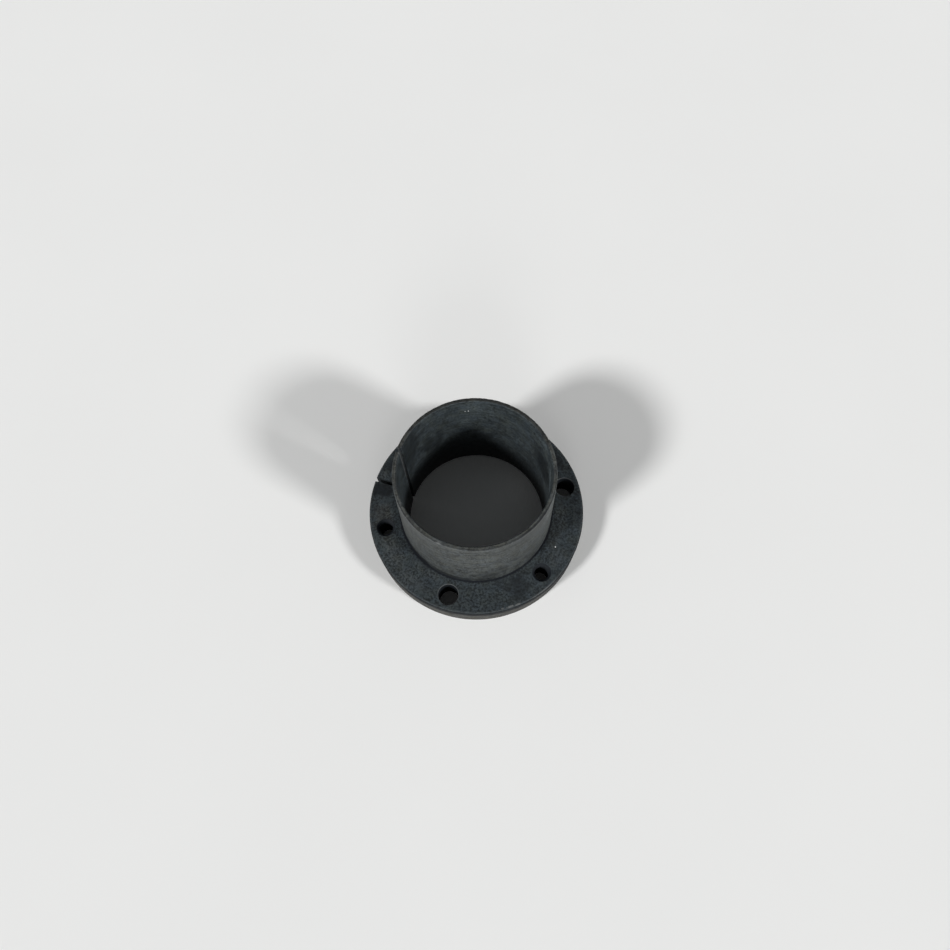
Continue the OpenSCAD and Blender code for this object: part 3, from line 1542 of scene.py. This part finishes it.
    def roughness(self, dirt_and_shade_mask: Field, rubbed_and_highlit: Field) -> Field:
        """Works out how matt the coat is.

        Args:
            dirt_and_shade_mask: mask of the grime and the painted shade.
            rubbed_and_highlit: mask of what is worn bright or painted bright.

        Returns:
            The roughness.
        """
        f = self.finish
        rough = self.blend(f.flange_roughness, f.barrel_roughness, self.masks[Face.BARREL])
        rough = self.blend(rough, f.bore_roughness, self.masks[Face.BORE])
        rough = self.blend(rough, f.side_roughness, self.masks[Face.SIDE])
        rough = rough + self.crystal * f.crystal_roughness + self.mottle * f.mottle_roughness
        rough = rough - self.oil_and_shade_marks * f.oil_and_shade_gloss
        rough = self.blend(rough, f.dirt_and_shade_roughness, dirt_and_shade_mask)
        return self.blend(rough, f.rubbed_and_highlit_roughness, rubbed_and_highlit)

    def relief(self) -> Field:
        """Raises the crystals and the turning lines.

        Returns:
            The normal of the surface.
        """
        f = self.finish
        grained = self.field(
            "ShaderNodeBump", {"Height": self.crystal, "Distance": f.crystal_depth, "Strength": 1.0}
        )
        return self.field(
            "ShaderNodeBump",
            {
                "Height": self.turning,
                "Distance": f.turning_depth,
                "Strength": 1.0,
                "Normal": grained,
            },
        )

    def dress(self) -> None:
        """Lays the layers over each other, from the coat to the dust, and shades them."""
        f = self.finish
        dirt_and_shade_mask, rubbed_and_highlit = self.dirt_and_shade_mask(), self.rubbed_and_highlit()
        colour = self.shade(self.base(), self.tone())
        # Dark patches with painted shade, painted shade in the holes, grime with painted shade,
        # then wear with painted highlights
        colour = self.mix(colour, f.oil_and_shade, self.oiled_and_shaded())
        colour = self.mix(colour, f.hole, self.in_hole())
        colour = self.mix(colour, f.dirt_and_shade, dirt_and_shade_mask)
        colour = self.mix(colour, f.rubbed_and_highlit, rubbed_and_highlit)
        colour = self.mix(colour, f.dust, self.most([self.mark(s) for s in f.specks()]))
        shader = self.field(
            "ShaderNodeBsdfPrincipled",
            {
                "Base Color": colour,
                "Roughness": self.roughness(dirt_and_shade_mask, rubbed_and_highlit),
                "Normal": self.relief(),
                "IOR": f.refractive_index,
            },
        )
        self.add("ShaderNodeOutputMaterial", {"Surface": shader})


@dataclass(frozen=True)
class PaperFinish:
    """Pale matt paper for the floor, faintly cloudy."""

    name: str = "pale_paper"
    colour: Colour = (0.84, 0.84, 0.83)
    roughness: float = 0.9
    cloud_scale: float = 9.0
    cloud_detail: float = 3.0
    cloud_gain: float = 0.04

    def make(self) -> bpy.types.Material:
        """Builds the material.

        Returns:
            The material.
        """
        material = bpy.data.materials.new(self.name)
        material.use_nodes = True
        graph = Graph(material.node_tree)
        shader = material.node_tree.nodes["Principled BSDF"]
        place = graph.add("ShaderNodeTexCoord").outputs["Object"]
        cloud = graph.field(
            "ShaderNodeTexNoise",
            {"Vector": place, "Scale": self.cloud_scale, "Detail": self.cloud_detail},
        )
        tone = graph.shade(self.colour, (cloud - 0.5) * self.cloud_gain + 1.0)
        graph.feed(shader.inputs["Base Color"], tone)
        shader.inputs["Roughness"].default_value = self.roughness
        return material


class Side(Enum):
    """Where a lamp stands, as degrees round the object from the photograph's right."""

    KEY = 215.0
    FRONT = 270.0
    FILL = 326.0


@dataclass(frozen=True)
class Lamp:
    """A soft lamp far away.

    Its share is how much of the light on a white floor it gives. Its elevation above the floor
    and its spread are in degrees.
    """

    side: Side
    share: float
    elevation: float
    spread: float

    def place(self, turn: float) -> bpy.types.Object:
        """Adds the lamp to the scene.

        Args:
            turn: degrees from the photograph's directions to the part's.

        Returns:
            The lamp.
        """
        light = bpy.data.lights.new(self.side.name.lower(), "SUN")
        height = math.radians(self.elevation)
        light.energy = self.share * math.pi / math.sin(height)
        light.angle = math.radians(self.spread)
        lamp = bpy.data.objects.new(light.name, light)
        around = math.radians(self.side.value + turn)
        lamp.rotation_euler = (math.pi / 2 - height, 0.0, around + math.pi / 2)
        bpy.context.scene.collection.objects.link(lamp)
        return lamp


@dataclass
class Studio:
    """Floor, light and camera, with the photograph's directions turned to the part's.

    Lengths are in metres, but the sensor in millimetres, and the camera's angles in radians.
    Zenith and horizon are the strength of the sky's light, which changes between the two
    heights of the ceiling.
    """

    turn: float = PHOTO_TURN
    floor_size: float = 3.0
    floor_gap: float = 0.02 * MM
    camera_back: float = 81.976 * MM
    camera_height: float = 240.925 * MM
    camera_pitch: float = 1.1793
    camera_yaw: float = 0.001
    camera_roll: float = -0.0415
    focal_pixels: float = 655.67
    image_pixels: float = 950.0
    sensor: float = 36.0
    clip_start: float = 10.0 * MM
    zenith: float = 0.10
    horizon: float = 0.60
    ceiling: Limits = (0.05, 0.75)
    daylight: Colour = (0.97, 0.99, 1.0)
    lamps: Tuple[Lamp, ...] = (
        Lamp(Side.KEY, 0.41, 35.6, 9.0),
        Lamp(Side.FRONT, 0.05, 24.0, 20.0),
        Lamp(Side.FILL, 0.30, 30.0, 9.0),
    )

    def floor(self, finish: PaperFinish) -> bpy.types.Object:
        """Lays the floor under the bushing.

        Args:
            finish: the floor's finish.

        Returns:
            The floor.
        """
        half = self.floor_size / 2
        z = -self.floor_gap
        mesh = bpy.data.meshes.new("floor")
        corners = [(-half, -half, z), (half, -half, z), (half, half, z), (-half, half, z)]
        mesh.from_pydata(corners, [], [(0, 1, 2, 3)])
        mesh.materials.append(finish.make())
        sheet = bpy.data.objects.new("floor", mesh)
        bpy.context.scene.collection.objects.link(sheet)
        return sheet

    def sky(self) -> None:
        """Makes the light of a room: pale walls all round under a dim ceiling."""
        world = bpy.data.worlds.new("room")
        world.use_nodes = True
        bpy.context.scene.world = world
        graph = Graph(world.node_tree)
        direction = graph.add("ShaderNodeTexCoord").outputs["Generated"]
        height = graph.parts(direction)[2]
        strength = height.fall(*self.ceiling) * (self.horizon - self.zenith) + self.zenith
        background = world.node_tree.nodes["Background"]
        background.inputs["Color"].default_value = (*self.daylight, 1.0)
        graph.feed(background.inputs["Strength"], strength)

    def camera(self) -> bpy.types.Object:
        """Puts the camera where the photograph was taken from.

        Returns:
            The camera.
        """
        data = bpy.data.cameras.new("camera")
        data.sensor_width = self.sensor
        data.lens = self.focal_pixels / self.image_pixels * self.sensor
        data.clip_start = self.clip_start
        flat = math.cos(self.camera_pitch)
        ahead = Vector(
            (
                math.sin(self.camera_yaw) * flat,
                math.cos(self.camera_yaw) * flat,
                -math.sin(self.camera_pitch),
            )
        )
        right = ahead.cross(Vector((0.0, 0.0, 1.0))).normalized()
        up = right.cross(ahead)
        roll = Matrix.Rotation(-self.camera_roll, 3, ahead)
        axes = Matrix((roll @ right, roll @ up, -ahead)).transposed()
        spot = Matrix.Translation((0.0, -self.camera_back, self.camera_height))
        turned = Matrix.Rotation(math.radians(self.turn), 4, "Z")
        eye = bpy.data.objects.new("camera", data)
        eye.matrix_world = turned @ spot @ axes.to_4x4()
        bpy.context.scene.collection.objects.link(eye)
        bpy.context.scene.camera = eye
        return eye

    def build(self) -> bpy.types.Object:
        """Sets up light, camera and floor.

        Returns:
            The floor.
        """
        bpy.context.scene.view_settings.view_transform = "Standard"
        self.sky()
        for lamp in self.lamps:
            lamp.place(self.turn)
        self.camera()
        return self.floor(PaperFinish())


def main() -> None:
    """Builds the bushing, its setting and its camera, and logs each piece."""
    logging.basicConfig(level=logging.INFO, format="%(message)s")
    shape = BushingShape.from_frame(frame["record"])
    bushing = TurnedBushing(shape)
    piece = bushing.build(PhosphateFinish().make(shape))
    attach(piece, BODY)
    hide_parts(CAD_NODE)
    log.info("%s: %d faces, stands for %s", piece.name, len(piece.data.polygons), CAD_NODE)
    floor = Studio().build()
    log.info("%s: stage", floor.name)


if __name__ == "__main__":
    main()
